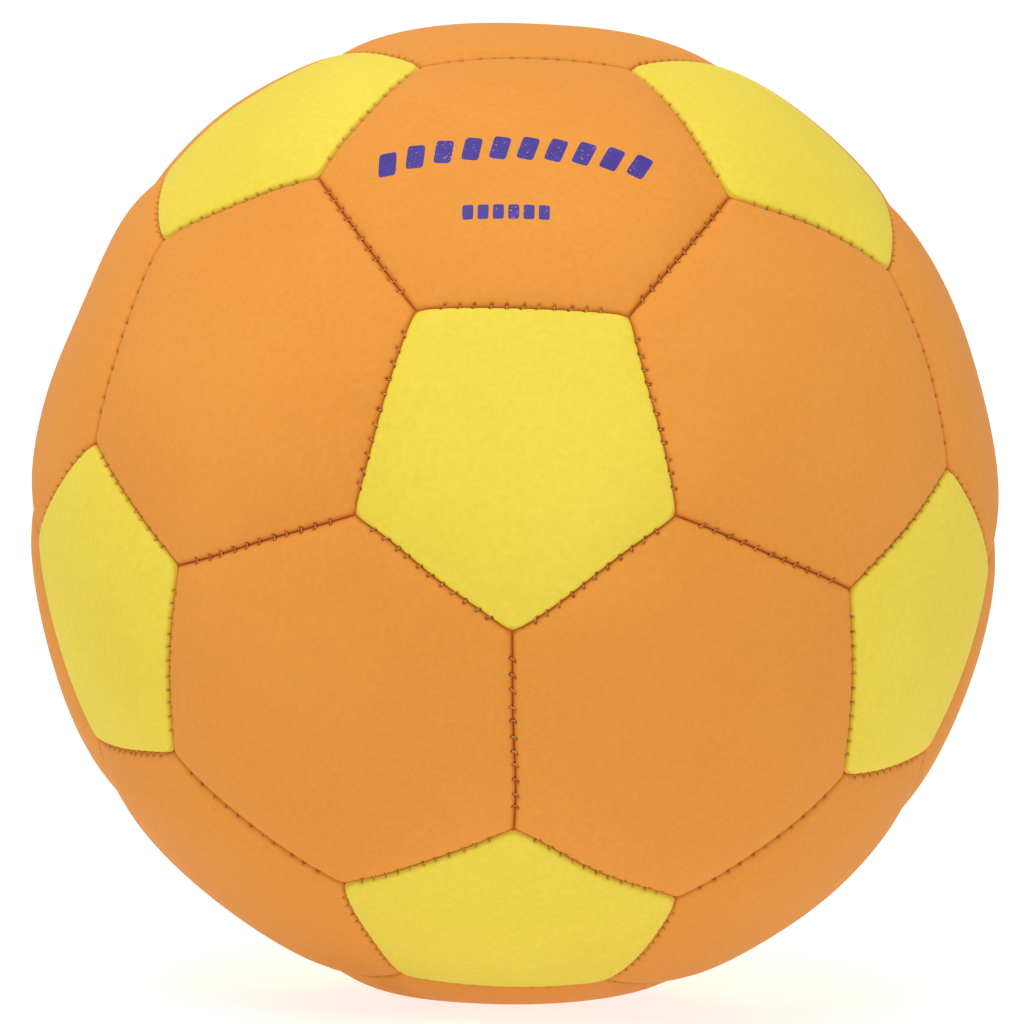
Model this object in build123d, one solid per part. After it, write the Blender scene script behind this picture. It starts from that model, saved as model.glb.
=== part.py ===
from build123d import *
from math import acos, asin, cos, degrees, pi, sin, sqrt
import os

# A stitched soccer ball of 32 panels, in millimetres.
# The origin is the centre of the ball, and +Z goes up through the middle of a hexagon.
# The front faces -Y, where a pentagon stands with one corner pointing down.

# Driving dimensions
ball_radius = 94.0  # over the crowns of the panels
skin_thickness = 0.9
foam_thickness = 1.3
lining_thickness = 0.5
skin_roll = 2.6  # radius of a panel's rolled edge beside a seam
stitch_depth = 3.1  # from the crown down to the line of stitches
seam_allowance = 2.4  # turned-in rim below the line of stitches
stitches_per_seam = 11
stitch_pitch = 2.8
hole_radius = 0.3
rung_radius = 0.25  # six-sided thread, where it passes through a needle hole
thread_radius = 0.3  # six-sided thread, along a seam
thread_clearance = 0.05
thread_tail = 0.5  # thread beyond the last hole of a seam
bladder_wall = 0.8
bladder_clearance = 0.2
valve_hole_radius = 4.6  # through the layers of the valve panel
valve_stem_radius = 4.5
valve_recess = 0.5  # the valve's face stands this far below the panel
valve_flange_radius = 12.0
valve_flange_thickness = 1.2
valve_cup_radius = 5.5
valve_cup_depth = 9.0  # below the outside of the bladder
insert_head_radius = 3.4
insert_head_thickness = 1.4
insert_shank_radius = 2.4
needle_radius = 1.0  # a standard 2 mm inflation needle
needle_channel_length = 10.0
needle_mouth_radius = 1.6
needle_mouth_depth = 0.6
slit_length = 3.0
slit_width = 0.3
patch_thickness = 0.5
patch_outer_radius = 13.0
patch_inner_radius = 4.8
ink_thickness = 0.05
ink_shift = -2.2  # the mark stands this far to the right of the panel's middle
ink_bar_count = 10
ink_bar_size = (3.2, 6.0)
ink_bar_slant = 12  # degrees, added to each bar's place on the arch
ink_arch_radius = 120.0
ink_arch_step = 2.48  # degrees from one bar to the next
ink_arch_top = 1.0  # above the middle of the panel
ink_block_count = 6
ink_block_size = (2.0, 3.6)
ink_block_pitch = 2.9
ink_block_drop = 14.0  # below the middle of the panel

# Layers, as radii from the centre of the ball
foam_outer = ball_radius - skin_thickness
lining_outer = foam_outer - foam_thickness
lining_inner = lining_outer - lining_thickness
stitch_radius = ball_radius - stitch_depth
rim_bottom = stitch_radius - seam_allowance
bladder_outer = rim_bottom - bladder_clearance
bladder_inner = bladder_outer - bladder_wall
flange_outer = bladder_outer + valve_flange_thickness
valve_face = ball_radius - valve_recess
valve_bottom = bladder_outer - valve_cup_depth

# Distance of each side layer from the middle plane of its seam
lining_rim = skin_thickness + lining_thickness
thread_side = lining_rim + thread_radius + thread_clearance

# Angles of a truncated icosahedron, in radians
golden = (1 + sqrt(5)) / 2
corner_radius = sqrt(9 * golden + 10) / 2  # of the solid whose edges are 1 long
seam_angle = 2 * asin(0.5 / corner_radius)
corner_angle = {n: asin(0.5 / sin(pi / n) / corner_radius) for n in (5, 6)}
middle_angle = {n: asin(sin(corner_angle[n]) * cos(pi / n) / cos(seam_angle / 2)) for n in (5, 6)}
pentagon_gap = 2 * asin(1 / sqrt(golden * golden + 1))
crown_tilt = asin(2 / sqrt(3) * sin(pentagon_gap / 2))  # top pentagons, from +Z
waist_tilt = acos(cos(crown_tilt) / golden**3)  # the pentagons of the next ring

wedge_start = 20.0  # the wedge over a panel reaches between these heights
wedge_end = 110.0
angle_match = 1e-6  # two cosines this close are the same angle
tool_overshoot = 1.0  # how far a cutter passes the face that it cuts


def direction(tilt, turn):
    return Vector(sin(tilt) * cos(turn), sin(tilt) * sin(turn), cos(tilt))


def find_pentagon_axes():
    """Four rings of three pentagons, from the top down."""
    rings = []
    for tilt, first_turn in (
        (crown_tilt, pi / 2),
        (waist_tilt, -pi / 2),
        (pi - waist_tilt, pi / 2),
        (pi - crown_tilt, -pi / 2),
    ):
        rings += [direction(tilt, first_turn + k * 2 * pi / 3) for k in range(3)]
    return rings


def are_neighbours(a, b):
    """Whether two pentagons are joined by one seam between hexagons."""
    return abs(a.dot(b) - cos(pentagon_gap)) < angle_match


def find_hexagon_axes(pentagons):
    """One hexagon between each three pentagons that are all neighbours."""
    found = []
    for i, a in enumerate(pentagons):
        for j, b in enumerate(pentagons[:i]):
            for c in pentagons[:j]:
                if are_neighbours(a, b) and are_neighbours(b, c) and are_neighbours(a, c):
                    found.append((a + b + c).normalized())
    return sorted(found, key=lambda axis: (-round(axis.Z, 3), axis.X, axis.Y))


def find_corners(pentagons):
    """The corners round each pentagon, a third of the way to each neighbour."""
    return [(a * 2 + b).normalized() for a in pentagons for b in pentagons if are_neighbours(a, b)]


def panel_place(axis, corners):
    """Where a panel that was built on +Z, with a corner towards +X, goes on the ball."""
    nearest = max(corners, key=lambda corner: corner.dot(axis))
    return Plane(origin=(0, 0, 0), x_dir=nearest - axis * nearest.dot(axis), z_dir=axis).location


def seam_places(sides):
    """Each seam of a panel built on +Z: +X to the seam's middle, +Z into the panel."""
    tilt = middle_angle[sides]
    for k in range(sides):
        turn = (2 * k + 1) * pi / sides
        inward = direction(pi / 2 - tilt, turn + pi)
        yield Plane(origin=(0, 0, 0), x_dir=direction(tilt, turn), z_dir=inward).location


def globe(radius):
    """A ball whose poles and seam lie away from the panel on +Z."""
    return Rot(90, 0, 0) * Sphere(radius)


def wedge(sides, inset):
    """The space over one panel, with its walls moved in from the middle planes of its seams."""
    rays = [direction(corner_angle[sides], k * 2 * pi / sides) for k in range(sides)]
    low = [ray * (wedge_start / ray.Z) for ray in rays]
    high = [ray * (wedge_end / ray.Z) for ray in rays]
    outlines = [low, high]
    outlines += [[low[k - 1], low[k], high[k], high[k - 1]] for k in range(sides)]
    faces = [Face(Wire.make_polygon(outline)) for outline in outlines]
    return Pos(0, 0, inset / sin(middle_angle[sides])) * Solid(Shell(faces))


def panel_block(sides, radius, inset, roll=0.0):
    """A wedge of a ball, with a rolled edge along its seams."""
    block = globe(radius) & wedge(sides, inset)
    if not roll:
        return block
    crown = block.faces().sort_by(SortBy.DISTANCE)[-1]
    return fillet(crown.edges(), roll)


def needle_holes(sides):
    """The row of holes through the rims along every seam of a panel."""
    depth = lining_rim + 2 * tool_overshoot
    row = [
        Pos(stitch_radius * cos(angle), stitch_radius * sin(angle), depth / 2 - tool_overshoot)
        * Cylinder(hole_radius, depth)
        for angle in stitch_angles()
    ]
    return [place * hole for place in seam_places(sides) for hole in row]


def stitch_angles():
    """Each stitch's place along its seam, from the seam's middle."""
    middle = (stitches_per_seam - 1) / 2
    return [(i - middle) * stitch_pitch / stitch_radius for i in range(stitches_per_seam)]


def make_skin(sides):
    """The outer layer, a shallow tray whose rim is turned in along the seams."""
    outside = panel_block(sides, ball_radius, 0, skin_roll)
    return outside - make_core(sides) - globe(rim_bottom) - needle_holes(sides)


def make_core(sides):
    """Everything inside the skin, down to the ball's centre."""
    return panel_block(sides, foam_outer, skin_thickness, skin_roll - skin_thickness)


def make_foam(sides):
    return make_core(sides) - globe(lining_outer)


def make_lining(sides):
    """The cloth layer, a tray inside the skin's rim."""
    outside = panel_block(sides, lining_outer, skin_thickness)
    inside = panel_block(sides, lining_inner, lining_rim)
    return outside - inside - globe(rim_bottom) - needle_holes(sides)


def make_stitch_row():
    """Thread down one side of a seam: a running thread with half a rung at every hole."""
    half_turn = degrees(stitch_angles()[-1] + thread_tail / stitch_radius)
    section = Plane.XZ * Pos(stitch_radius, thread_side) * RegularPolygon(thread_radius, 6)
    row = Rot(0, 0, -half_turn) * revolve(section, Axis.Z, 2 * half_turn)
    rung = extrude(RegularPolygon(rung_radius, 6), thread_side)
    for angle in stitch_angles():
        row += Pos(stitch_radius * cos(angle), stitch_radius * sin(angle), 0) * rung
    return row


def valve_hole():
    return Pos(0, 0, ball_radius) * Cylinder(valve_hole_radius, ball_radius / 4)


def column(radius, bottom, top):
    """A cylinder on the +Z axis between two heights."""
    return Pos(0, 0, (bottom + top) / 2) * Cylinder(radius, top - bottom)


def shell(outer, inner):
    return globe(outer) - globe(inner)


def make_bladder(valve_place):
    return shell(bladder_outer, bladder_inner) - valve_place * column(
        valve_cup_radius, valve_bottom, ball_radius
    )


def make_valve_housing():
    """Flange on the bladder, stem through the valve panel and cup inside the bladder."""
    cap = column(valve_flange_radius, valve_bottom, ball_radius)
    housing = shell(flange_outer, bladder_outer) & cap
    housing += column(valve_cup_radius, valve_bottom, bladder_outer + valve_flange_thickness / 2)
    housing += column(valve_stem_radius, valve_bottom, valve_face)
    housing -= column(insert_shank_radius, valve_bottom - tool_overshoot, ball_radius)
    return housing - column(insert_head_radius, valve_face - insert_head_thickness, ball_radius)


def make_valve_insert():
    """The plug that an inflation needle passes through, closed at its end by a slit."""
    plug = column(insert_shank_radius, valve_bottom, valve_face)
    plug += column(insert_head_radius, valve_face - insert_head_thickness, valve_face)
    channel_end = valve_face - needle_channel_length
    plug -= column(needle_radius, channel_end, ball_radius)
    mouth = Cone(needle_radius, needle_mouth_radius, needle_mouth_depth)
    plug -= Pos(0, 0, valve_face - needle_mouth_depth / 2) * mouth
    slit_height = channel_end - valve_bottom + tool_overshoot
    slit = Box(slit_length, slit_width, slit_height)
    return plug - Pos(0, 0, channel_end - slit_height / 2) * slit


def make_valve_patch():
    """The cloth ring that stiffens the lining round the valve."""
    ring = column(patch_outer_radius, bladder_outer, ball_radius)
    ring -= column(patch_inner_radius, bladder_inner, ball_radius + tool_overshoot)
    return shell(lining_inner, lining_inner - patch_thickness) & ring


def make_printed_mark():
    """A film of ink: an arched row of slanted bars over a short row of blocks."""
    stencils = []
    for k in range(ink_bar_count):
        turn = ((ink_bar_count - 1) / 2 - k) * ink_arch_step
        bar = Rot(0, 0, -ink_bar_slant) * Box(*ink_bar_size, ball_radius / 4)
        arch = Pos(ink_shift, ink_arch_top - ink_arch_radius, ball_radius) * Rot(0, 0, turn)
        stencils.append(arch * Pos(0, ink_arch_radius, 0) * bar)
    for k in range(ink_block_count):
        across = ink_shift + (k - (ink_block_count - 1) / 2) * ink_block_pitch
        block = Box(*ink_block_size, ball_radius / 4)
        stencils.append(Pos(across, -ink_block_drop, ball_radius) * block)
    film = shell(ball_radius + ink_thickness, ball_radius)
    return [film & stencil for stencil in stencils]


def seam_place(a, b):
    """One seam of the ball: +X to the seam's middle, +Z into the panel whose axis is a."""
    return Plane(origin=(0, 0, 0), x_dir=(a + b), z_dir=a - b).location


def find_seams(first_axes, second_axes, gap):
    """The pairs of panels whose axes stand this far apart."""
    return [
        (a, b)
        for i, a in enumerate(first_axes)
        for b in (first_axes[:i] if second_axes is first_axes else second_axes)
        if abs(a.dot(b) - cos(gap)) < angle_match
    ]


def write_node(name, shape, places=(Location(),)):
    """Writes copies of one shape, or of each of a list of shapes, as the solids of one node."""
    shapes = shape if isinstance(shape, list) else [shape]
    solids = [solid.moved(place) for place in places for part in shapes for solid in part.solids()]
    node = Compound(children=solids) if len(solids) > 1 else solids[0]
    node.label = name
    export_step(node, f"parts/{name}.step")


os.makedirs("parts", exist_ok=True)

pentagons = find_pentagon_axes()
hexagons = find_hexagon_axes(pentagons)
corners = find_corners(pentagons)
valve_target = direction(crown_tilt + pi / 6, pi / 2 + pi / 8)
valve_axis = max(hexagons, key=lambda axis: axis.dot(valve_target))
plain_hexagons = [axis for axis in hexagons if axis is not valve_axis]
front_hexagon = max(hexagons, key=lambda axis: axis.Z - axis.Y)
bottom_hexagon = hexagons[-1]
pentagon_places = [panel_place(axis, corners) for axis in pentagons]
hexagon_places = [panel_place(axis, corners) for axis in plain_hexagons]
valve_place = panel_place(valve_axis, corners)

# Skins, one node for each panel
pentagon_skin = make_skin(5)
hexagon_skin = make_skin(6)
for number, place in enumerate(pentagon_places, 1):
    write_node(f"pentagon_panel_{number:02d}", pentagon_skin, [place])
for number, place in enumerate(hexagon_places, 1):
    write_node(f"hexagon_panel_{number:02d}", hexagon_skin, [place])
write_node("valve_panel", hexagon_skin - valve_hole(), [valve_place])

# Foam pads and cloth linings behind the skins
hexagon_foam = make_foam(6)
hexagon_lining = make_lining(6)
write_node("pentagon_foam_pads", make_foam(5), pentagon_places)
write_node("hexagon_foam_pads", hexagon_foam, hexagon_places)
write_node("valve_foam_pad", hexagon_foam - valve_hole(), [valve_place])
write_node("pentagon_linings", make_lining(5), pentagon_places)
write_node("hexagon_linings", hexagon_lining, hexagon_places)
write_node("valve_lining", hexagon_lining - valve_hole(), [valve_place])

# Seams: needle thread down one side, bobbin thread down the other
stitch_row = make_stitch_row()
pentagon_seams = find_seams(pentagons, hexagons, middle_angle[5] + middle_angle[6])
hexagon_seams = find_seams(hexagons, hexagons, 2 * middle_angle[6])
closed_last = [pair for pair in hexagon_seams if bottom_hexagon in pair]
sewn_seams = [pair for pair in hexagon_seams if bottom_hexagon not in pair]
for seams, group in ((pentagon_seams, "pentagon"), (sewn_seams, "hexagon")):
    write_node(f"needle_thread_{group}_seams", stitch_row, [seam_place(a, b) for a, b in seams])
    write_node(f"bobbin_thread_{group}_seams", stitch_row, [seam_place(b, a) for a, b in seams])
closing_places = [seam_place(*pair) for a, b in closed_last for pair in ((a, b), (b, a))]
write_node("closing_thread", stitch_row, closing_places)

# Inside the cover, and the valve
write_node("bladder", make_bladder(valve_place))
write_node("valve_housing", make_valve_housing(), [valve_place])
write_node("valve_insert", make_valve_insert(), [valve_place])
write_node("valve_patch", make_valve_patch(), [valve_place])

# Ink on the hexagon above the front pentagon, upright as seen from the front
mark_plane = Plane(origin=(0, 0, 0), x_dir=(1, 0, 0), z_dir=front_hexagon)
write_node("printed_mark", make_printed_mark(), [mark_plane.location])
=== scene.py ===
import math
import time
import bpy
import numpy as np
from mathutils import Matrix, Vector


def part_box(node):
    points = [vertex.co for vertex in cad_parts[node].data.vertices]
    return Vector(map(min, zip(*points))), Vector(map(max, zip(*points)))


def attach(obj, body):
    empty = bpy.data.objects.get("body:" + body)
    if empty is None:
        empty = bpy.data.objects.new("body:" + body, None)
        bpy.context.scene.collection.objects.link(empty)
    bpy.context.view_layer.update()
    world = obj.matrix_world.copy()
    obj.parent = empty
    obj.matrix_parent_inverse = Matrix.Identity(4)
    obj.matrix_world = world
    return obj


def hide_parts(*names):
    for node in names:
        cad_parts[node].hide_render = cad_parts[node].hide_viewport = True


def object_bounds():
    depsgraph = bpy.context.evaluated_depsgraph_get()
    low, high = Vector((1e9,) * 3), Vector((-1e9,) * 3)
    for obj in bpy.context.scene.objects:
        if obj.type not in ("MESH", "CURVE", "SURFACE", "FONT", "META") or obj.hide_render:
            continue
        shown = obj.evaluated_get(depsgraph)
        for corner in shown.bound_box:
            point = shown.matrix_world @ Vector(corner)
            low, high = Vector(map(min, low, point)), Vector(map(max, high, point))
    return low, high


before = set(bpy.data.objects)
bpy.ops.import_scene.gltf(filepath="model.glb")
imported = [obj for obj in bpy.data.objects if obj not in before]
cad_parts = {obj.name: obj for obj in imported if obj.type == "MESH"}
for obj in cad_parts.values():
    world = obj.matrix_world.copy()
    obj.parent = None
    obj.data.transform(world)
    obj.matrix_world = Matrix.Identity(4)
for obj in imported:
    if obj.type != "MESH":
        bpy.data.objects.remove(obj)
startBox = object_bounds()  # the CAD box
startTime = time.time()
mm = 0.001
ballRadius = startBox[1][2] / mm  # the top panel's crown stands on +Z


def say(words):
    print(f"[ball {time.time() - startTime:5.1f}s] {words}", flush=True)


def unit(v):
    # arrays of points, each scaled to length 1
    return v / np.linalg.norm(v, axis=-1, keepdims=True)


def smoothStep(x):
    x = np.clip(x, 0.0, 1.0)
    return x * x * (3 - 2 * x)


# the cover and how it is cut and sewn, in millimetres
cover = {
    "seamLine": 93.15,  # radius that the panels reach beside a seam, before they roll into it
    "puff": {"hexagon": 0.85, "pentagon": 0.45},  # how far the bladder pushes a panel's middle past that
    "puffSpread": 0.16,  # panels differ by this share
    "shoulder": {"hexagon": (0.85, 3.0), "pentagon": (0.50, 2.8)},  # dip and reach of the soft edge
    "roll": {"hexagon": 1.05, "pentagon": 0.85},  # radius of the turned edge
    "rimDrops": (0.45, 1.3, 2.5),  # the turned-in rim goes down in these steps below the roll
    "turn": 0.95,  # share of the roll that the edge turns through before the rims press together
    "gap": 0.012,  # each panel stays this far from the seam's middle
    "tipRound": 0.8,  # how far a pentagon's tip is cut back by its rounding
    "tipLet": 0.8,  # and how far the corner was let out to make up for it
    "tall": 0.007,  # the ball stands a little taller than it is wide
    "wobble": 0.22,  # how unevenly the seams run
    "cornerSpread": 0.45,  # how far the corners stray where they aren't set below
}
# where the sewing pulled the front corners, (right, up), clockwise from the lowest one
cornerPull = {
    "inner": [(-0.4, 0.7), (0.9, -1.1), (-0.6, 0.3), (0.7, 0.3), (-1.6, 0.3)],
    "outer": [(0.9, -2.7), (-2.5, 0.5), (-1.4, 1.9), (0.9, 0.3), (2.1, -0.8)],
    "far": [(-0.1, -2.3), (-3.0, -0.3), (-0.5, -0.9), (0.1, 2.3), (-1.9, 0.4),
            (1.1, 1.1), (1.5, 0.4), (2.4, -1.7), (2.7, -1.2), (1.3, -3.6)],
}
layers = {  # depths of each layer's two faces below the skin's outside, and how far in its walls stand
    "skin": {"below": 0.85, "inset": 0.85},
    "foam": {"below": (0.9, 2.15), "inset": 0.95},
    "lining": {"below": (2.2, 2.6), "inset": (0.95, 1.35)},
    "tightestRoll": 0.15,
    "coarse": 5,  # hidden faces keep one grid line in this many
}
stitching = {  # in millimetres, and the twist in radians per metre
    "perSeam": 11,
    "pitch": 2.8,
    "slip": 0.15,  # how unevenly the stitches are spaced
    # how far from the seam the needle goes in, by the seam's kind and the panel's
    "out": {("hexagon", "hexagon"): 0.42, ("pentagon", "pentagon"): 0.14, ("pentagon", "hexagon"): 0.62},
    "holeRadius": 0.30,
    "holeDepth": 0.5,
    "slant": (0.22, 0.12),  # how far a stitch leans along the seam, and how unevenly
    "pinch": {"hexagon": 0.2, "pentagon": 0.07},  # how far each stitch pulls the edge down
    "pinchAlong": 0.6,  # and how far that reaches
    "pinchAcross": 1.0,
    "thread": 0.13,  # radius
    "sunk": 0.14,  # the thread lies this far below the edges that it holds
    "midSunk": 0.42,
    "runSide": 1.75,  # the running thread, behind the lining's rim
    "runRadius": 90.3,
    "twist": 5200.0,
}
valveHole = {
    "radius": 4.6,
    "lip": 0.3,  # its edge is rounded over this width
    "shape": ((0.12, 0.05), (0.02, 0.16), (0.0, 0.36)),  # the rounding, as (distance from the wall, drop)
    "ring": 0.1388,  # the grid line that becomes the hole's edge, as a share of the way to a seam
    "spread": 0.32,  # the grid is round as far as this share
}
restRadius = -startBox[0][2] / mm  # how far below its centre the ball stands on the floor

# the net of panels: a truncated icosahedron with a hexagon on top
golden = (1 + 5 ** 0.5) / 2
pentagonGap = 2 * math.asin(1 / math.sqrt(golden * golden + 1))
crownTilt = math.asin(2 / math.sqrt(3) * math.sin(pentagonGap / 2))
waistTilt = math.acos(math.cos(crownTilt) / golden ** 3)
same = 1e-6
inradius = {"hexagon": 0.3649, "pentagon": 0.2874}  # from a panel's middle to its seams, in radii of the ball
flatCorner = 0.42  # and to its corners, roughly


def direction(tilt, turn):
    return np.array([math.sin(tilt) * math.cos(turn), math.sin(tilt) * math.sin(turn), math.cos(tilt)])


def pentagonAxes():
    axes = []
    rings = ((crownTilt, 0.5), (waistTilt, -0.5), (math.pi - waistTilt, 0.5), (math.pi - crownTilt, -0.5))
    for tilt, first in rings:
        axes += [direction(tilt, (first + k * 2 / 3) * math.pi) for k in range(3)]
    return axes


def beside(a, b):
    return abs(a @ b - math.cos(pentagonGap)) < same


pentagons = pentagonAxes()
hexagons = [
    unit(a + b + c)
    for i, a in enumerate(pentagons)
    for j, b in enumerate(pentagons[:i])
    for c in pentagons[:j]
    if beside(a, b) and beside(b, c) and beside(a, c)
]
corners = np.array([unit(2 * a + b) for a in pentagons for b in pentagons if beside(a, b)])
seamCos = max(corners[0] @ c for c in corners[1:])
cornerOwner = [int(np.argmax([c @ a for a in pentagons])) for c in corners]  # each corner's pentagon


def around(axis, ids):
    # corner numbers in order round an axis, anticlockwise from outside
    side = unit(np.cross(axis, [0.31, 0.62, 0.72]))
    up = np.cross(axis, side)
    return sorted(ids, key=lambda i: math.atan2(corners[i] @ up, corners[i] @ side))


def nearestCorners(axis, count):
    return around(axis, np.argsort(-(corners @ axis))[:count])


def joined(i):
    # the three corners that a seam leads to from this one
    return [k for k in range(len(corners)) if k != i and corners[k] @ corners[i] > seamCos - same]


rng = np.random.default_rng(32)


def strayCorners():
    # every corner strays a little, and the front ones go where the sewing pulled them
    pulls = rng.normal(0, cover["cornerSpread"], corners.shape)
    front = int(np.argmin([a[1] for a in pentagons]))

    def fromBottom(i):
        # clockwise from the lowest, seen from the front
        return (math.atan2(-corners[i][0], -corners[i][2]) + 0.1) % (2 * math.pi)

    inner = sorted([i for i, owner in enumerate(cornerOwner) if owner == front], key=fromBottom)
    outer = [next(k for k in joined(i) if cornerOwner[k] != front) for i in inner]
    far = sorted([k for i, out in zip(inner, outer) for k in joined(out) if k != i], key=fromBottom)
    for ids, places in ((inner, "inner"), (outer, "outer"), (far, "far")):
        for i, (right, up) in zip(ids, cornerPull[places]):
            c = corners[i]
            pulls[i] = (right, (right * c[0] + up * c[2]) / -c[1], up)
    for i, owner in enumerate(cornerOwner):
        pulls[i] -= towardPentagon(corners[i], owner) * cover["tipLet"]
    return unit(corners + pulls / ballRadius)


def towardPentagon(c, owner):
    return unit(pentagons[owner] - c * (pentagons[owner] @ c))


strayed = strayCorners()


def tipPoint(i):
    # where three panels meet: the pentagon's tip is rounded, so the other two close in over it
    return unit(strayed[i] + towardPentagon(strayed[i], cornerOwner[i]) * cover["tipRound"] / ballRadius)


seams = {}
for i in range(len(corners)):
    for j in joined(i):
        if i < j:
            seams[i, j] = {
                "kind": "pentagon" if cornerOwner[i] == cornerOwner[j] else "hexagon",
                "wobble": rng.normal(0, cover["wobble"], 3) / np.array([1, 1.6, 2.4]),
                "slip": rng.normal(0, stitching["slip"], stitching["perSeam"]),
                "pull": rng.uniform(0.6, 1.35, stitching["perSeam"]),
                "lean": rng.normal(*stitching["slant"], stitching["perSeam"]),
            }
say(f"{len(corners)} corners, {len(seams)} seams")


def seamPoints(i, j, f):
    # directions along a seam, from corner i to corner j
    if i > j:
        return seamPoints(j, i, 1 - f)
    seam = seams[i, j]
    f = np.asarray(f, float)[:, None]
    a, b = (tipPoint(i), tipPoint(j)) if seam["kind"] == "hexagon" else (strayed[i], strayed[j])
    angle = math.acos(a @ b)
    points = (np.sin((1 - f) * angle) * a + np.sin(f * angle) * b) / math.sin(angle)
    sideways = unit(np.cross(a, b))
    wave = sum(w * np.sin((n + 1) * math.pi * f) for n, w in enumerate(seam["wobble"]))
    points = points + sideways * wave / ballRadius
    if seam["kind"] == "pentagon":
        for end, corner in ((f, i), (1 - f, j)):
            reach = end * angle * ballRadius * math.cos(math.radians(54))
            rounded = np.sqrt(cover["tipRound"] ** 2 + reach ** 2) - reach
            points = points + towardPentagon(strayed[corner], cornerOwner[corner]) * rounded / ballRadius
    return unit(points)


seamAngle = math.acos(seamCos)


def stitchPlaces(i, j):
    # each stitch's share of the way along the seam
    n = stitching["perSeam"]
    length = math.acos(strayed[i] @ strayed[j]) * ballRadius
    pitch = stitching["pitch"] * length / (seamAngle * ballRadius)
    return 0.5 + ((np.arange(n) - (n - 1) / 2) * pitch + seams[i, j]["slip"]) / length


sampleShares = np.linspace(0, 1, 241)


def seamRails(i, j, centre):
    # points, headings and inward normals along one side of a panel
    points = seamPoints(i, j, sampleShares)
    heading = unit(np.gradient(points, axis=0))
    inward = unit(np.cross(points, heading))
    if inward[len(inward) // 2] @ centre < 0:
        inward = -inward
    return points, heading, inward


def alongSeam(rails, spots):
    # for each spot: how far in from the seam, in mm, and its share of the way along
    points, heading, inward = rails
    nearest = np.argmax(spots @ points.T, axis=1)
    offset = spots - points[nearest]
    length = np.linalg.norm(np.diff(points, axis=0), axis=1).sum()
    depth = np.einsum("ij,ij->i", offset, inward[nearest]) * ballRadius
    share = sampleShares[nearest] + np.einsum("ij,ij->i", offset, heading[nearest]) / length
    return depth, share, length * ballRadius


def softMin(a, b, reach):
    near = np.maximum(reach - np.abs(a - b), 0) / reach
    return np.maximum(np.minimum(a, b) - near * near * reach / 4, 0)


# the panels, matched to the CAD nodes by where they stand
panels = []
for node in sorted(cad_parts):
    if "panel" not in node:
        continue
    low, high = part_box(node)
    toward = unit(np.array((low + high) / 2))
    kind = "pentagon" if node.startswith("pentagon") else "hexagon"
    axis = max(pentagons if kind == "pentagon" else hexagons, key=lambda a: a @ toward)
    ids = nearestCorners(axis, 5 if kind == "pentagon" else 6)
    centre = axis if node == "valve_panel" else unit(np.mean([tipPoint(i) for i in ids], axis=0))
    side = unit(np.cross([0, 0, 1.0], axis)) if abs(axis[2]) < 0.99 else np.array([1.0, 0, 0])
    panels.append({"node": node, "kind": kind, "axis": axis, "ids": ids, "centre": centre,
                   "side": side, "up": np.cross(axis, side), "open": node == "valve_panel"})
say(f"{len(panels)} panels")


def patchGrid(panel, k, shares, inset=0.0):
    # directions over the part of a panel nearest its corner k, from the middle out to both seams
    ids = panel["ids"]
    v, before, after = ids[k], ids[k - 1], ids[(k + 1) % len(ids)]
    c = panel["centre"]
    s = np.asarray(shares)

    def pulledIn(points):
        return unit(points + unit(c - points * (points @ c)[:, None]) * inset / ballRadius)

    edgeA = pulledIn(seamPoints(v, after, 0.5 * (1 - s)))  # from the next seam's middle to the corner
    edgeB = pulledIn(seamPoints(before, v, 0.5 + 0.5 * s))
    edgeB[-1] = tip = edgeA[-1]
    m, n = edgeA[0], edgeB[0]
    p, q = s[:, None, None], s[None, :, None]
    spokeM = c * (1 - s)[:, None] + m * s[:, None]
    spokeN = c * (1 - s)[:, None] + n * s[:, None]
    grid = ((1 - p) * spokeN[None] + p * edgeA[None] + (1 - q) * spokeM[:, None] + q * edgeB[:, None]
            - ((1 - p) * (1 - q) * c + p * (1 - q) * m + (1 - p) * q * n + p * q * tip))
    return unit(grid)


def weld(points, places=7):
    # joins points that are in the same place: which to keep, and every point's new number
    _, first, back = np.unique(np.round(points, places), axis=0, return_index=True, return_inverse=True)
    order = np.argsort(first)
    rank = np.empty_like(order)
    rank[order] = np.arange(len(order))
    return first[order], rank[back.ravel()]


def gridFaces(n, m, start=0):
    i, j = np.meshgrid(np.arange(n - 1), np.arange(m - 1), indexing="ij")
    a = (start + i * m + j).ravel()
    return np.stack([a, a + 1, a + m + 1, a + m], 1)


def newObject(name, points, faces, material):
    mesh = bpy.data.meshes.new(name)
    mesh.from_pydata(np.asarray(points, float).tolist(), [], [list(map(int, face)) for face in faces])
    mesh.validate()
    mesh.materials.append(material)
    mesh.polygons.foreach_set("use_smooth", [True] * len(mesh.polygons))
    made = bpy.data.objects.new(name, mesh)
    bpy.context.scene.collection.objects.link(made)
    return made


# the bladder's push on the cover, as cloth under pressure, held at the seams
inflation = {"cells": 6, "pressure": 5.0, "frames": 20, "cap": 6.0}


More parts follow.
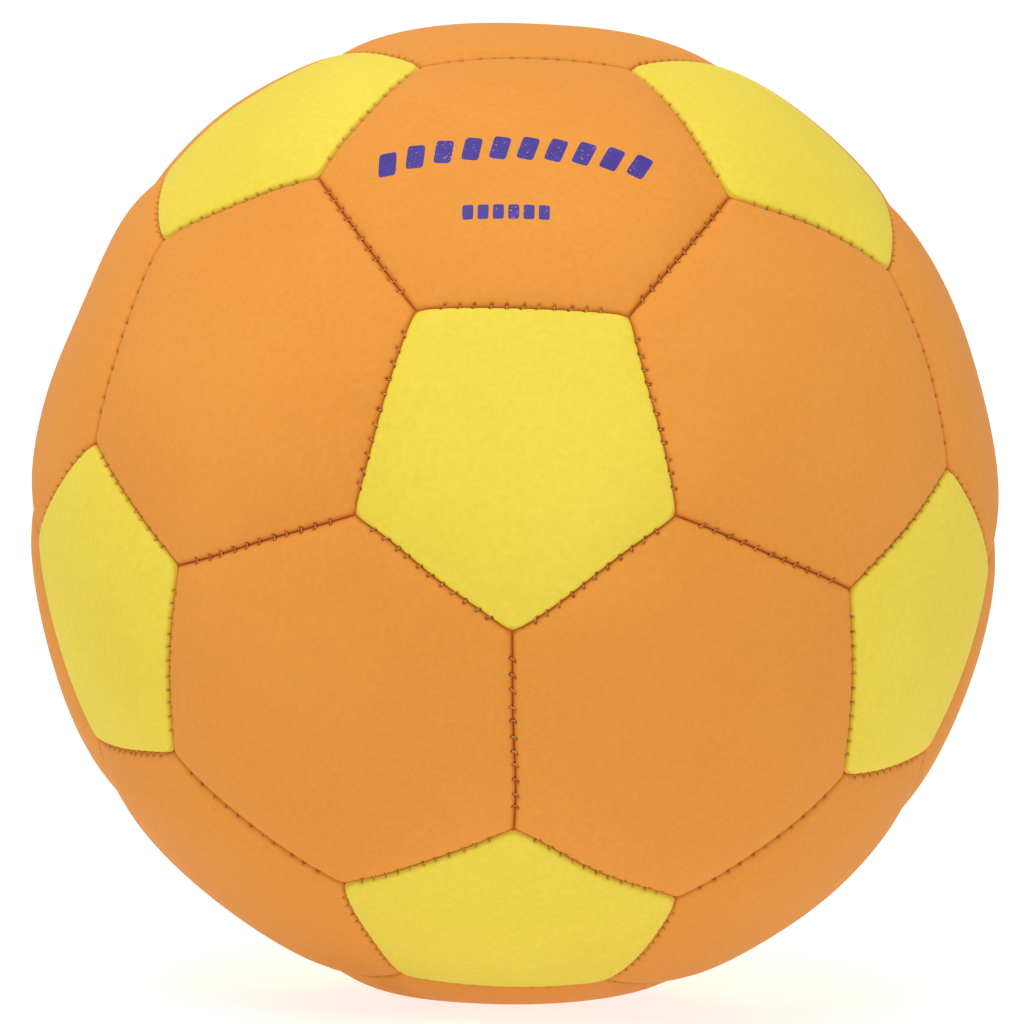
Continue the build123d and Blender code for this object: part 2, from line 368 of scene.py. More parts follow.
def inflateCover():
    # a coarse cover of unit radius with the same panels, pinned along every seam
    shares = np.linspace(0, 1, inflation["cells"] + 1)
    points, faces, owner, pinned = [], [], [], []
    for number, panel in enumerate(panels):
        for k in range(len(panel["ids"])):
            grid = patchGrid(panel, k, shares)
            faces.append(gridFaces(len(shares), len(shares), sum(len(x) for x in points)))
            points.append(grid.reshape(-1, 3))
            edge = np.zeros(grid.shape[:2], bool)
            edge[-1, :] = edge[:, -1] = True
            pinned.append(edge.ravel())
            owner.append(np.full(edge.size, number))
    points, faces = np.concatenate(points), np.concatenate(faces)
    owner, pinned = np.concatenate(owner), np.concatenate(pinned)
    keep, renamed = weld(points, 5)
    points, owner, pinned, faces = points[keep], owner[keep], pinned[keep], renamed[faces]
    cloth = newObject("blown_cover", points, faces, bpy.data.materials.new("blank"))
    group = cloth.vertex_groups.new(name="seams")
    group.add([int(i) for i in np.flatnonzero(pinned)], 1.0, "REPLACE")
    press = cloth.modifiers.new("press", "CLOTH")
    press.settings.quality = 6
    press.settings.mass = 0.3
    press.settings.tension_stiffness = press.settings.compression_stiffness = 14
    press.settings.shear_stiffness = 6
    press.settings.bending_stiffness = 3
    press.settings.use_pressure = True
    press.settings.uniform_pressure_force = inflation["pressure"]
    press.settings.vertex_group_mass = "seams"
    press.settings.effector_weights.gravity = 0
    for step in range(1, inflation["frames"] + 1):
        bpy.context.scene.frame_set(step)
    shaped = cloth.evaluated_get(bpy.context.evaluated_depsgraph_get()).data
    blown = np.empty(len(points) * 3)
    shaped.vertices.foreach_get("co", blown)
    bpy.context.scene.frame_set(1)
    bpy.data.objects.remove(cloth)
    rise = (np.linalg.norm(blown.reshape(-1, 3), axis=1) - 1) * ballRadius
    rise = np.clip(rise, 0, inflation["cap"])
    say(f"cover blown up, by {rise.max():.2f} mm at most")
    return points, owner, pinned, rise


def localSpot(panel, spots):
    # flat coordinates over a panel, about 1 at its corners
    depth = spots @ panel["centre"]
    return spots @ panel["side"] / depth / flatCorner, spots @ panel["up"] / depth / flatCorner


powers = [(i, j) for i in range(7) for j in range(7 - i)]  # of the two coordinates, up to the sixth


def fitPuff():
    # a smooth surface through each panel's blown points, scaled to the puff that such a panel has
    points, owner, pinned, rise = inflateCover()
    for number, panel in enumerate(panels):
        panel["puff"] = cover["puff"][panel["kind"]] * (1 + rng.normal(0, cover["puffSpread"]))
        panel["shape"] = None
        if points is None:
            continue
        touch = owner == number
        use = touch | (pinned & (points @ panel["centre"] > math.cos(0.43)))
        x, y = localSpot(panel, points[use])
        terms = np.stack([x ** i * y ** j for i, j in powers], 1)
        panel["shape"] = np.linalg.lstsq(terms, rise[use] / rise[touch].max(), rcond=None)[0]


def puffAt(panel, spots):
    x, y = localSpot(panel, spots)
    if panel["shape"] is None:
        reach = 0.85 if panel["kind"] == "hexagon" else 0.72
        return panel["puff"] * np.clip(1 - (x * x + y * y) / reach ** 2, 0, 1)
    rise = sum(c * x ** i * y ** j for c, (i, j) in zip(panel["shape"], powers))
    return panel["puff"] * np.maximum(rise, 0)


fitPuff()
say("panel shapes fitted")

creases = [  # soft folds in the skin: start and end as (right, up) seen from the front, depth, width
    ((-1.5, -23.5), (-10.5, -26.2), 0.16, 0.7),
    ((3.5, -23.6), (9.5, -21.0), 0.08, 0.8),
    ((-31.0, 38.0), (-36.0, 41.5), 0.12, 0.9),
    ((24.5, 37.0), (31.0, 40.5), 0.10, 0.8),
]


def creaseAt(spots):
    x, z = spots[:, 0] * ballRadius, spots[:, 2] * ballRadius
    total = 0
    for (x0, z0), (x1, z1), deep, wide in creases:
        along = ((x - x0) * (x1 - x0) + (z - z0) * (z1 - z0)) / ((x1 - x0) ** 2 + (z1 - z0) ** 2)
        t = np.clip(along, 0, 1)
        away = np.hypot(x - x0 - t * (x1 - x0), z - z0 - t * (z1 - z0))
        total = total + deep * np.exp(-(away / wide) ** 2) * (1 - 0.6 * t)
    return total


def seamSides(panel, k):
    ids = panel["ids"]
    return (ids[k], ids[(k + 1) % len(ids)]), (ids[k - 1], ids[k])


def seamDepth(panel, k, spots):
    depths = [alongSeam(seamRails(i, j, panel["centre"]), spots)[0] for i, j in seamSides(panel, k)]
    return softMin(*depths, 1.1)


def stitchMarks(panel, k, spots):
    # how far the stitches beside corner k pull the skin down, and where their holes are
    pinch, hole = 0, 0
    for i, j in seamSides(panel, k):
        depth, share, length = alongSeam(seamRails(min(i, j), max(i, j), panel["centre"]), spots)
        seam = seams[min(i, j), max(i, j)]
        places = stitchPlaces(min(i, j), max(i, j))
        number = np.clip(np.searchsorted((places[1:] + places[:-1]) / 2, share), 0, len(places) - 1)
        along = (share - places[number]) * length
        pull = seam["pull"][number]
        pinch = pinch + pull * stitching["pinch"][panel["kind"]] * np.exp(
            -((along / stitching["pinchAlong"]) ** 2) - (depth / stitching["pinchAcross"]) ** 2)
        out = stitching["out"][seam["kind"], panel["kind"]]
        away = np.hypot(along - seam["lean"][number] * leanSide(panel, i, j), depth - out)
        hole = np.maximum(hole, np.exp(-((away / stitching["holeRadius"]) ** 4)) * np.minimum(pull, 1))
    return pinch, hole


def leanSide(panel, i, j):
    # a stitch leans one way along the seam on one side, and the other way on the other
    a, b = strayed[min(i, j)], strayed[max(i, j)]
    return 1 if np.cross(a, b) @ panel["centre"] > 0 else -1


def layerRadius(panel, k, spots, below=0.0):
    # radius of the skin's outside, or of a surface this far below it
    depth = seamDepth(panel, k, spots)
    dip, reach = cover["shoulder"][panel["kind"]]
    fullRoll = cover["roll"][panel["kind"]]
    roll = max(fullRoll - below, layers["tightestRoll"])
    inside = np.clip(fullRoll - depth, 0, roll * cover["turn"])
    drop = roll - np.sqrt(np.maximum(roll ** 2 - inside ** 2, 0))
    radius = cover["seamLine"] + puffAt(panel, spots) - dip * np.exp(-depth / reach) - drop - below
    return radius, depth


def skinSurface(panel, k, spots):
    radius, depth = layerRadius(panel, k, spots)
    pinch, hole = stitchMarks(panel, k, spots)
    radius = radius - pinch - hole * stitching["holeDepth"]
    if panel["centre"][1] < -0.3:
        radius = radius - creaseAt(spots)
    return radius, depth, hole


lumps = {  # where the ball is out of round: degrees anticlockwise from the right, mm, degrees wide
    "rises": [(47, 0.6, 10), (62, 1.2, 11), (113, 0.9, 9), (128, 1.4, 10), (143, 0.9, 6), (180, 0.5, 8),
              (213, 0.6, 12), (254, 1.1, 9), (292, 1.3, 10), (310, 1.2, 11), (325, 0.6, 9)],
    "hollows": [(15, 0.4, 9), (88, 0.3, 8), (157, 0.8, 8)],
    "reach": 0.6,  # how far they go towards the front and the back, as a share of the radius
}


def outOfRound(spots):
    angle = np.degrees(np.arctan2(spots[..., 2], spots[..., 0]))
    total = 0
    for way, group in ((1, "rises"), (-1, "hollows")):
        for place, height, wide in lumps[group]:
            off = (angle - place + 180) % 360 - 180
            total = total + way * height * np.exp(-((off / wide) ** 2))
    return total * np.exp(-((spots[..., 1] / lumps["reach"]) ** 2)) * (1 - spots[..., 1] ** 2)


def standing(spots, radius):
    # places in metres, with the ball a little taller than wide, and flat where it rests on the floor
    tall = cover["tall"]
    radius = np.asarray(radius) + outOfRound(spots)
    points = spots * radius[..., None] * np.array([1 - tall, 1 - tall, 1 + tall])
    points[..., 2] = np.maximum(points[..., 2], -restRadius)
    return points * mm


def panelShares(kind):
    # grid lines that crowd round each stitch and towards the seam
    pitchShare = 2 * stitching["pitch"] / (seamAngle * ballRadius)
    steps = np.array([0, 0.2, 0.45, 0.85, 1.55, 2.25, 2.65, 2.9]) / 3.1  # of the way to the next stitch
    shares = [(k + s) * pitchShare for k in range(5) for s in steps]
    shares += [(5 + s) * pitchShare for s in steps[:4]]
    middleToSeam = ballRadius * inradius[kind]
    rows = [4.4, 3.7, 3.1, 2.55, 2.1, 1.7, 1.35, 1.05, 0.85, 0.68, 0.54, 0.41, 0.29, 0.17, 0.07, 0]  # mm in
    shares += [1 - d / middleToSeam for d in rows if 1 - d / middleToSeam > shares[-1] + 0.006]
    return np.array(shares)


def openedOut(panel, grid, shares, lip):
    # moves the grid lines round the middle of the valve panel onto circles about its hole
    axis = panel["axis"]
    level = np.maximum(shares[:, None], shares[None, :])
    along = grid @ axis
    away = np.arccos(np.clip(along, -1, 1)) * ballRadius
    first = level - valveHole["ring"]
    goal = valveHole["radius"] + lip + first * ballRadius * inradius["hexagon"]
    blend = smoothStep(first / (valveHole["spread"] - valveHole["ring"]))
    turn = (goal * (1 - blend) + away * blend) / ballRadius
    outward = grid - axis * along[..., None]
    outward /= np.maximum(np.linalg.norm(outward, axis=-1, keepdims=True), 1e-9)
    return axis * np.cos(turn)[..., None] + outward * np.sin(turn)[..., None]


def holeLine(shares):
    return int(np.argmin(np.abs(shares - valveHole["ring"])))


def panelSurface(panel, shares, inset, radiusOf, lip=0.0):
    # all of a panel's patches, welded: places, masks, quads, and the rim and the hole's edge in order
    spots, faces, radii, masks, rim, hole = [], [], [], [], [], []
    n, first = len(shares), holeLine(shares)
    for k in range(len(panel["ids"])):
        grid = patchGrid(panel, k, shares, inset)
        numbers = np.arange(n * n).reshape(n, n) + k * n * n
        quads = gridFaces(n, n, k * n * n)
        if panel["open"]:
            grid = openedOut(panel, grid, shares, lip)
            i, j = np.divmod(quads[:, 0] - k * n * n, n)
            quads = quads[(i >= first) | (j >= first)]
            hole += [numbers[:first, first], numbers[first, first:0:-1]]
        rim += [numbers[:-1, -1], numbers[-1, :0:-1]]
        faces.append(quads)
        spots.append(grid.reshape(-1, 3))
        made = radiusOf(panel, k, spots[-1])
        radii.append(made[0])
        masks.append(np.stack(made[1:], 1))
    spots, faces = np.concatenate(spots), np.concatenate(faces)
    keep, renamed = weld(spots)
    faces = renamed[faces]
    used, faces = np.unique(faces, return_inverse=True)
    place = {int(old): new for new, old in enumerate(used)}
    keep, faces = keep[used], faces.reshape(-1, 4)
    return {
        "spots": spots[keep], "radius": np.concatenate(radii)[keep], "masks": np.concatenate(masks)[keep],
        "faces": faces.tolist(),
        "rim": [place[int(i)] for i in renamed[np.concatenate(rim)]],
        "hole": [place[int(i)] for i in renamed[np.concatenate(hole)]] if hole else [],
    }


def ringPlaces(sides, n, kept):
    # where the points of a loop of kept grid lines stand in the loop of all n lines
    patch = list(kept[:-1]) + [2 * (n - 1) - q for q in kept[::-1] if q > 0]
    return [k * 2 * (n - 1) + i for k in range(sides) for i in patch]


def band(upper, lower, at=None, turned=False):
    # faces from one loop down to the next, which may have fewer points, standing at these places
    at = range(len(upper)) if at is None else at
    at = list(at) + [at[0] + len(upper)]
    faces = []
    for t in range(len(lower)):
        chain = [upper[i % len(upper)] for i in range(at[t], at[t + 1] + 1)]
        face = [chain[0], lower[t], lower[(t + 1) % len(lower)]] + chain[:0:-1]
        faces.append(face[::-1] if turned else face)
    return faces


class Shell:
    # gathers one closed layer: rings and surfaces, with their masks
    def __init__(self):
        self.points, self.masks, self.faces, self.count = [], [], [], 0

    def add(self, points, masks):
        numbers = list(range(self.count, self.count + len(points)))
        self.points.append(points)
        self.masks.append(masks)
        self.count += len(points)
        return numbers

    def surface(self, made, turned=False):
        start = self.count
        self.add(standing(made["spots"], made["radius"]), made["masks"][:, :2])
        self.faces += [[i + start for i in (face[::-1] if turned else face)] for face in made["faces"]]
        return [i + start for i in made["rim"]], [i + start for i in made["hole"]]


def hidden(below):
    # a plain layer surface, with no stitch marks
    def radiusOf(panel, k, spots):
        radius, depth = layerRadius(panel, k, spots, below)
        return radius, depth, 0 * depth
    return radiusOf


def rimRing(shell, made, radius):
    spots = made["spots"][made["rim"]]
    return shell.add(standing(spots, radius + 0 * spots[:, 0]), made["masks"][made["rim"]][:, :2] * [1, 0])


def holeRing(shell, panel, made, lip, radius):
    # a ring of the valve hole's wall
    spots = made["spots"][made["hole"]]
    axis = panel["axis"]
    outward = unit(spots - axis * (spots @ axis)[:, None])
    turn = (valveHole["radius"] + lip) / ballRadius
    spots = axis * math.cos(turn) + outward * math.sin(turn)
    return shell.add(standing(spots, radius), np.array([[9.0, 0.0]] * len(spots)))


def rimTop(panel):
    kind = panel["kind"]
    return cover["seamLine"] - cover["shoulder"][kind][0] - cover["roll"][kind]


def skinShell(panel):
    shares = panelShares(panel["kind"])
    n = len(shares)
    kept = sorted(set(range(0, n - 1, layers["coarse"])) | {holeLine(shares), n - 1})
    outside = panelSurface(panel, shares, cover["gap"], skinSurface, valveHole["lip"])
    skin = layers["skin"]
    inside = panelSurface(panel, shares[kept], cover["gap"] + skin["inset"], hidden(skin["below"]))
    shell = Shell()
    last, mouth = shell.surface(outside)
    for drop in cover["rimDrops"]:
        ring = rimRing(shell, outside, rimTop(panel) - drop)
        shell.faces += band(last, ring)
        last = ring
    base = rimRing(shell, inside, rimTop(panel) - cover["rimDrops"][-1])
    shell.faces += band(last, base, ringPlaces(len(panel["ids"]), n, kept))
    innerRim, innerHole = shell.surface(inside, turned=True)
    shell.faces += band(base, innerRim)
    if panel["open"]:
        radius = outside["radius"][outside["hole"]]
        for lip, drop in valveHole["shape"]:
            ring = holeRing(shell, panel, outside, lip, radius - drop)
            shell.faces += band(mouth, ring, turned=True)
            mouth = ring
        first = holeLine(shares)
        inner = [i for i in kept if i <= first]
        shell.faces += band(mouth, innerHole, ringPlaces(len(panel["ids"]), first + 1, inner), turned=True)
    return shell


def padShell(panel, layer):
    # foam is a block, and lining a tray whose rim is turned in beside the skin's
    shares = panelShares(panel["kind"])
    n = len(shares)
    shares = shares[sorted(set(range(0, n - 1, layers["coarse"])) | {holeLine(shares), n - 1})]
    top, bottom = layers[layer]["below"]
    outer, inner = np.broadcast_to(layers[layer]["inset"], 2)
    outside = panelSurface(panel, shares, outer, hidden(top))
    inside = panelSurface(panel, shares, inner, hidden(bottom))
    shell = Shell()
    last, mouth = shell.surface(outside)
    if inner > outer:
        for made in (outside, inside):
            ring = rimRing(shell, made, rimTop(panel) - cover["rimDrops"][-1])
            shell.faces += band(last, ring)
            last = ring
    innerRim, innerHole = shell.surface(inside, turned=True)
    shell.faces += band(last, innerRim)
    if panel["open"]:
        shell.faces += band(mouth, innerHole, turned=True)
    return shell


def joinShells(shells):
    points, masks, faces, count = [], [], [], 0
    for shell in shells:
        points += shell.points
        masks += shell.masks
        faces += [[i + count for i in face] for face in shell.faces]
        count += shell.count
    return np.concatenate(points), np.concatenate(masks), faces


def coverPiece(name, shells, nodes, material):
    points, masks, faces = joinShells(shells)
    made = newObject(name, points, faces, material)
    # the skin's shader paints shade by these: the distance in from the seam, and the needle holes' mask
    for mask, values in (("seamDepth", masks[:, 0]), ("needleHoleShade", masks[:, 1])):
        made.data.attributes.new(mask, "FLOAT", "POINT").data.foreach_set("value", values.astype(np.float32))
    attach(made, "root")
    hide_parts(*nodes)
    return made


# materials
def newMaterial(name):
    material = bpy.data.materials.new(name)
    material.use_nodes = True
    tree = material.node_tree
    return material, tree, tree.nodes["Principled BSDF"]


def addNode(tree, kind, links=(), **settings):
    # a node with its input sockets set to numbers, or linked from other nodes' outputs
    made = tree.nodes.new("ShaderNode" + kind)
    for key, value in settings.items():
        setattr(made, key, value)
    for socket, value in dict(links).items():
        if isinstance(value, bpy.types.NodeSocket):
            tree.links.new(value, made.inputs[socket])
        else:
            made.inputs[socket].default_value = value
    return made


def noiseAt(tree, place, scale, detail=4.0, roughness=0.55):
    sockets = {"Vector": place, "Scale": scale, "Detail": detail, "Roughness": roughness}
    return addNode(tree, "TexNoise", sockets).outputs["Fac"]


def colourRamp(tree, source, stops):
    made = addNode(tree, "ValToRGB", {"Fac": source})
    elements = made.color_ramp.elements
    while len(elements) < len(stops):
        elements.new(0.5)
    for element, (place, colour) in zip(elements, stops):
        element.position = place
        element.color = (*colour, 1)
    return made.outputs["Color"]


def mixed(tree, factor, first, second, blend="MIX"):
    made = addNode(tree, "Mix", {0: factor}, data_type="RGBA", blend_type=blend)
    for socket, value in ((6, first), (7, second)):
        if isinstance(value, bpy.types.NodeSocket):
            tree.links.new(value, made.inputs[socket])
        else:
            made.inputs[socket].default_value = (*value, 1)
    return made.outputs[2]


def sums(tree, operation, a, b):
    return addNode(tree, "Math", {0: a, 1: b}, operation=operation).outputs[0]


def spread(tree, source, low, high):
    return addNode(tree, "MapRange", {"Value": source, "To Min": low, "To Max": high}).outputs["Result"]


def bumpFrom(tree, height, strength, distance):
    sockets = {"Height": height, "Strength": strength, "Distance": distance}
    return addNode(tree, "Bump", sockets).outputs["Normal"]


def grey(x):
    return (x, x, x)


# each look's seam colour is painted shade in the seam groove (orange-tinted on the yellow), fading out over
# the seam reach in mm, and its hole colour is painted shade in the needle holes
skinLook = {
    "orange": {"base": (0.70, 0.268, 0.040), "deep": (0.68, 0.254, 0.036), "pale": (0.72, 0.284, 0.045),
               "seam": (0.55, 0.140, 0.020), "hole": (0.19, 0.036, 0.008), "seamShadeReach": 0.7},
    "yellow": {"base": (0.74, 0.590, 0.058), "deep": (0.72, 0.565, 0.051), "pale": (0.76, 0.615, 0.069),
               "seam": (0.66, 0.42, 0.030), "hole": (0.30, 0.110, 0.012), "seamShadeReach": 0.45},
    "cloud": 22.0, "grain": 1500.0, "speck": 900.0, "roughness": (0.64, 0.76), "relief": (0.11, 0.00012),
}


def softSkin(name, look):
    # matte synthetic leather: a fine grain, cloudy colour, and painted shade in the seams and needle holes
    material, tree, shader = newMaterial(name)
    place = addNode(tree, "TexCoord").outputs["Object"]
    cloud = noiseAt(tree, place, skinLook["cloud"])
    speck = noiseAt(tree, place, skinLook["speck"], 3.0, 0.6)
    colour = colourRamp(tree, cloud, [(0.3, look["deep"]), (0.5, look["base"]), (0.72, look["pale"])])
    specks = colourRamp(tree, speck, [(0.3, grey(0.95)), (0.7, grey(1.03))])
    colour = mixed(tree, 1.0, colour, specks, "MULTIPLY")
    depth = addNode(tree, "Attribute", attribute_name="seamDepth").outputs["Fac"]
    hole = addNode(tree, "Attribute", attribute_name="needleHoleShade").outputs["Fac"]
    reach = look["seamShadeReach"]
    # painted shade: darkest at the seam, fading out over the seam reach
    near = colourRamp(tree, depth, [(0.0, grey(1)), (0.36 * reach, grey(0.4)), (reach, grey(0))])
    colour = mixed(tree, near, colour, look["seam"])
    # painted shade in the needle holes
    colour = mixed(tree, sums(tree, "MULTIPLY", hole, 0.9), colour, look["hole"])
    tree.links.new(colour, shader.inputs["Base Color"])
    tree.links.new(spread(tree, cloud, *skinLook["roughness"]), shader.inputs["Roughness"])
    cells = addNode(tree, "TexVoronoi", {"Vector": place, "Scale": skinLook["grain"]}, feature="SMOOTH_F1")
    height = sums(tree, "ADD", sums(tree, "MULTIPLY", cells.outputs["Distance"], 0.6), speck)
    tree.links.new(bumpFrom(tree, height, *skinLook["relief"]), shader.inputs["Normal"])
    shader.inputs["Specular IOR Level"].default_value = 0.15
    return material


def mottled(name, low, high, scale, roughness, relief, weave=0.0):
    # two tones of noise, with the same noise or a weave as its relief
    material, tree, shader = newMaterial(name)
    place = addNode(tree, "TexCoord").outputs["Object"]
    noise = noiseAt(tree, place, scale, 5.0)
    tree.links.new(colourRamp(tree, noise, [(0.32, low), (0.68, high)]), shader.inputs["Base Color"])
    height = noise
    if weave:
        sockets = {"Vector": place, "Scale": weave}
        waves = [addNode(tree, "TexWave", sockets, bands_direction=way) for way in "XY"]
        height = sums(tree, "MAXIMUM", *(wave.outputs["Fac"] for wave in waves))
    tree.links.new(bumpFrom(tree, height, 0.5, relief), shader.inputs["Normal"])
    tree.links.new(spread(tree, noise, roughness - 0.06, roughness + 0.06), shader.inputs["Roughness"])
    return material


def inkFinish(name, ink, under):
    # printed ink, with tiny specks that missed and let the skin show
    material, tree, shader = newMaterial(name)
    place = addNode(tree, "TexCoord").outputs["Object"]
    cloud = noiseAt(tree, place, 500.0)
    missed = colourRamp(tree, noiseAt(tree, place, 1900.0, 2.0, 0.5), [(0.66, grey(0)), (0.72, grey(1))])
    thin, thick = (tuple(share * c for c in ink) for share in (0.85, 1.2))
    tone = colourRamp(tree, cloud, [(0.35, thin), (0.65, thick)])
    tree.links.new(mixed(tree, missed, tone, under), shader.inputs["Base Color"])
    tree.links.new(spread(tree, cloud, 0.42, 0.55), shader.inputs["Roughness"])
    shader.inputs["Specular IOR Level"].default_value = 0.3
    tree.links.new(bumpFrom(tree, missed, 0.2, 0.00005), shader.inputs["Normal"])
    return material


finishes = {
    "orange": softSkin("orange_soft_skin", skinLook["orange"]),
    "yellow": softSkin("yellow_soft_skin", skinLook["yellow"]),
    "thread": mottled("twisted_thread", (0.55, 0.21, 0.050), (0.80, 0.44, 0.16), 1600, 0.66, 0.00008),
    "foam": mottled("white_foam", (0.72, 0.71, 0.66), (0.84, 0.83, 0.78), 700, 0.85, 0.0002),
    "cloth": mottled("lining_cloth", (0.62, 0.60, 0.53), (0.78, 0.76, 0.69), 300, 0.86, 0.0002, 700),
    "bladder": mottled("bladder_rubber", (0.018, 0.018, 0.02), (0.04, 0.04, 0.044), 120, 0.5, 0.0001),
    "valve": mottled("valve_rubber", (0.03, 0.03, 0.032), (0.055, 0.055, 0.06), 500, 0.48, 0.00005),
    "core": mottled("valve_core_rubber", (0.30, 0.27, 0.22), (0.40, 0.36, 0.30), 600, 0.5, 0.00005),
    "ink": inkFinish("purple_ink", (0.040, 0.020, 0.235), (0.70, 0.26, 0.04)),
}

for panel in panels:
    yellow = panel["kind"] == "pentagon"
    piece = coverPiece(panel["node"].replace("panel", "cover"), [skinShell(panel)], [panel["node"]],
                       finishes["yellow" if yellow else "orange"])
say("cover panels made")

for layer, finish, slot in (("foam", "foam", "foam"), ("lining", "cloth", "lining_cloth")):
    for group in ("pentagon", "hexagon", "valve"):
        mine = [p for p in panels if p["open"] == (group == "valve") and (p["kind"] == group or p["open"])]
        replaced = [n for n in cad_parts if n.startswith(f"{group}_{layer}")]
        shells = [padShell(p, layer) for p in mine]
        piece = coverPiece(f"{layer}_behind_{group}_covers", shells, replaced, finishes[finish])
say("foam and linings made")


# thread
def tube(path, radius, sides=8, lobes=2, twist=0.0, ripple=0.0):
    # a round or twisted thread along a path, closed at both ends
    heading = unit(np.gradient(path, axis=0))
    first = unit(np.cross(heading, path.mean(0)))
    second = np.cross(heading, first)
    turn = np.arange(sides) * 2 * math.pi / sides
    travelled = np.concatenate([[0], np.cumsum(np.linalg.norm(np.diff(path, axis=0), axis=1))])
    swell = radius * (1 + ripple * np.cos(lobes * turn[None] + twist * travelled[:, None]))
    rings = path[:, None] + swell[..., None] * (np.cos(turn)[None, :, None] * first[:, None]
                                                + np.sin(turn)[None, :, None] * second[:, None])
    ends = [path[:1] - heading[:1] * radius * 0.5, path[-1:] + heading[-1:] * radius * 0.5]
    points = np.concatenate([rings.reshape(-1, 3), *ends])
    last, top = len(points) - 1, (len(path) - 1) * sides
    faces = []
    for j in range(sides):
        n = (j + 1) % sides
        starts = range(0, top, sides)
        faces += [[i + j, i + n, i + sides + n, i + sides + j] for i in starts]
        faces += [[n, j, last - 1], [top + j, top + n, last]]
    return points, faces


def cornersCut(path):
    # one round of corner cutting, which keeps the ends
    near, far = 0.75 * path[:-1] + 0.25 * path[1:], 0.25 * path[:-1] + 0.75 * path[1:]
    between = np.stack([near, far], 1).reshape(-1, path.shape[1])
    return np.concatenate([path[:1], between[1:-1], path[-1:]])


def edgeHeight(kind, out, pull):
    # radius of a panel's rolled edge at this distance from the seam, where a stitch pulls it down
    dip, reach = cover["shoulder"][kind]
    roll = cover["roll"][kind]
    drop = roll - math.sqrt(roll ** 2 - min(max(roll - out, 0), roll * cover["turn"]) ** 2)
    return cover["seamLine"] - dip * math.exp(-out / reach) - drop - pull * stitching["pinch"][kind]


def seamThread(i, j):
    # the stitches that cross one seam, and the running thread behind each side of it
    seam = seams[i, j]
    places = stitchPlaces(i, j)
    points = seamPoints(i, j, places)
    heading = unit(seamPoints(i, j, places + 0.01) - seamPoints(i, j, places - 0.01))
    across = unit(np.cross(points, heading))
    left = "hexagon"
    right = seam["kind"]  # the panel on the side that across points to
    if seam["kind"] == "pentagon" and across[5] @ pentagons[cornerOwner[i]] < 0:
        left, right = right, left
    outs = [stitching["out"][seam["kind"], kind] for kind in (left, right)]
    side, depth = stitching["runSide"], stitching["runRadius"]
    parts = []
    for n, pull in enumerate(seam["pull"]):
        edges = [edgeHeight(kind, out, pull) for kind, out in zip((left, right), outs)]
        heights = [edge - stitching["sunk"] for edge in edges]
        middle = min(heights) + stitching["sunk"] - stitching["midSunk"]
        course = np.array([
            (-side, depth), (-outs[0] - 0.3, heights[0] - 1.0), (-outs[0] - 0.05, heights[0] - 0.15),
            (-outs[0] * 0.5, heights[0] + 0.02), (0, middle), (outs[1] * 0.5, heights[1] + 0.02),
            (outs[1] + 0.05, heights[1] - 0.15), (outs[1] + 0.3, heights[1] - 1.0), (side, depth)])
        course = cornersCut(course)
        lean = seam["lean"][n] * np.clip(course[:, 0] / 0.4, -1, 1)
        spots = points[n] + (across[n] * course[:, :1] + heading[n] * lean[:, None]) / ballRadius
        parts.append(tube(standing(unit(spots), course[:, 1]), stitching["thread"] * mm,
                          8, 2, stitching["twist"], 0.13))
    runPlaces = np.linspace(places[0] - 0.015, places[-1] + 0.015, 24)
    line = seamPoints(i, j, runPlaces)
    sideways = unit(np.cross(line, np.gradient(line, axis=0)))
    for way in (-1, 1):
        spots = unit(line + way * sideways * side / ballRadius)
        parts.append(tube(standing(spots, depth + 0 * runPlaces), stitching["thread"] * mm, 6))
    return parts


def joinParts(parts):
    points, faces, count = [], [], 0
    for partPoints, partFaces in parts:
        points.append(partPoints)
        faces += [[i + count for i in face] for face in partFaces]
        count += len(partPoints)
    return np.concatenate(points), faces


def solidPiece(name, parts, nodes, material):
    made = newObject(name, *joinParts(parts), material)
    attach(made, "root")
    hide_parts(*nodes)


threadParts = {"pentagon": [], "hexagon": [], "closing": []}
lowest = nearestCorners(np.array([0, 0, -1.0]), 6)
for (i, j), seam in seams.items():
    closing = seam["kind"] == "hexagon" and i in lowest and j in lowest
    threadParts["closing" if closing else seam["kind"]] += seamThread(i, j)
threadNodes = {
    "pentagon": ["needle_thread_pentagon_seams", "bobbin_thread_pentagon_seams"],
    "hexagon": ["needle_thread_hexagon_seams", "bobbin_thread_hexagon_seams"],
    "closing": ["closing_thread"],
}
for group, nodes in threadNodes.items():
    solidPiece(group + "_seam_thread", threadParts[group], nodes, finishes["thread"])
say("thread made")

# the printed mark: an arched row of slanted bars over a short row of blocks
mark = {  # in millimetres and degrees, from the middle of its panel
    "bars": 10,
    "barSize": (3.2, 6.0),
    "slant": 12,
    "archRadius": 120.0,
    "step": 2.48,  # from one bar to the next
    "shift": -2.2,
    "archTop": 2.1,
    "blocks": 6,
    "blockSize": (2.0, 3.3),
    "blockPitch": 2.8,
    "blockShift": -3.4,
    "blockDrop": 14.0,
    "thick": 0.03,
    "sunk": 0.05,
}
markPanel = max((p for p in panels if p["kind"] == "hexagon"), key=lambda p: p["axis"][2] - p["axis"][1])


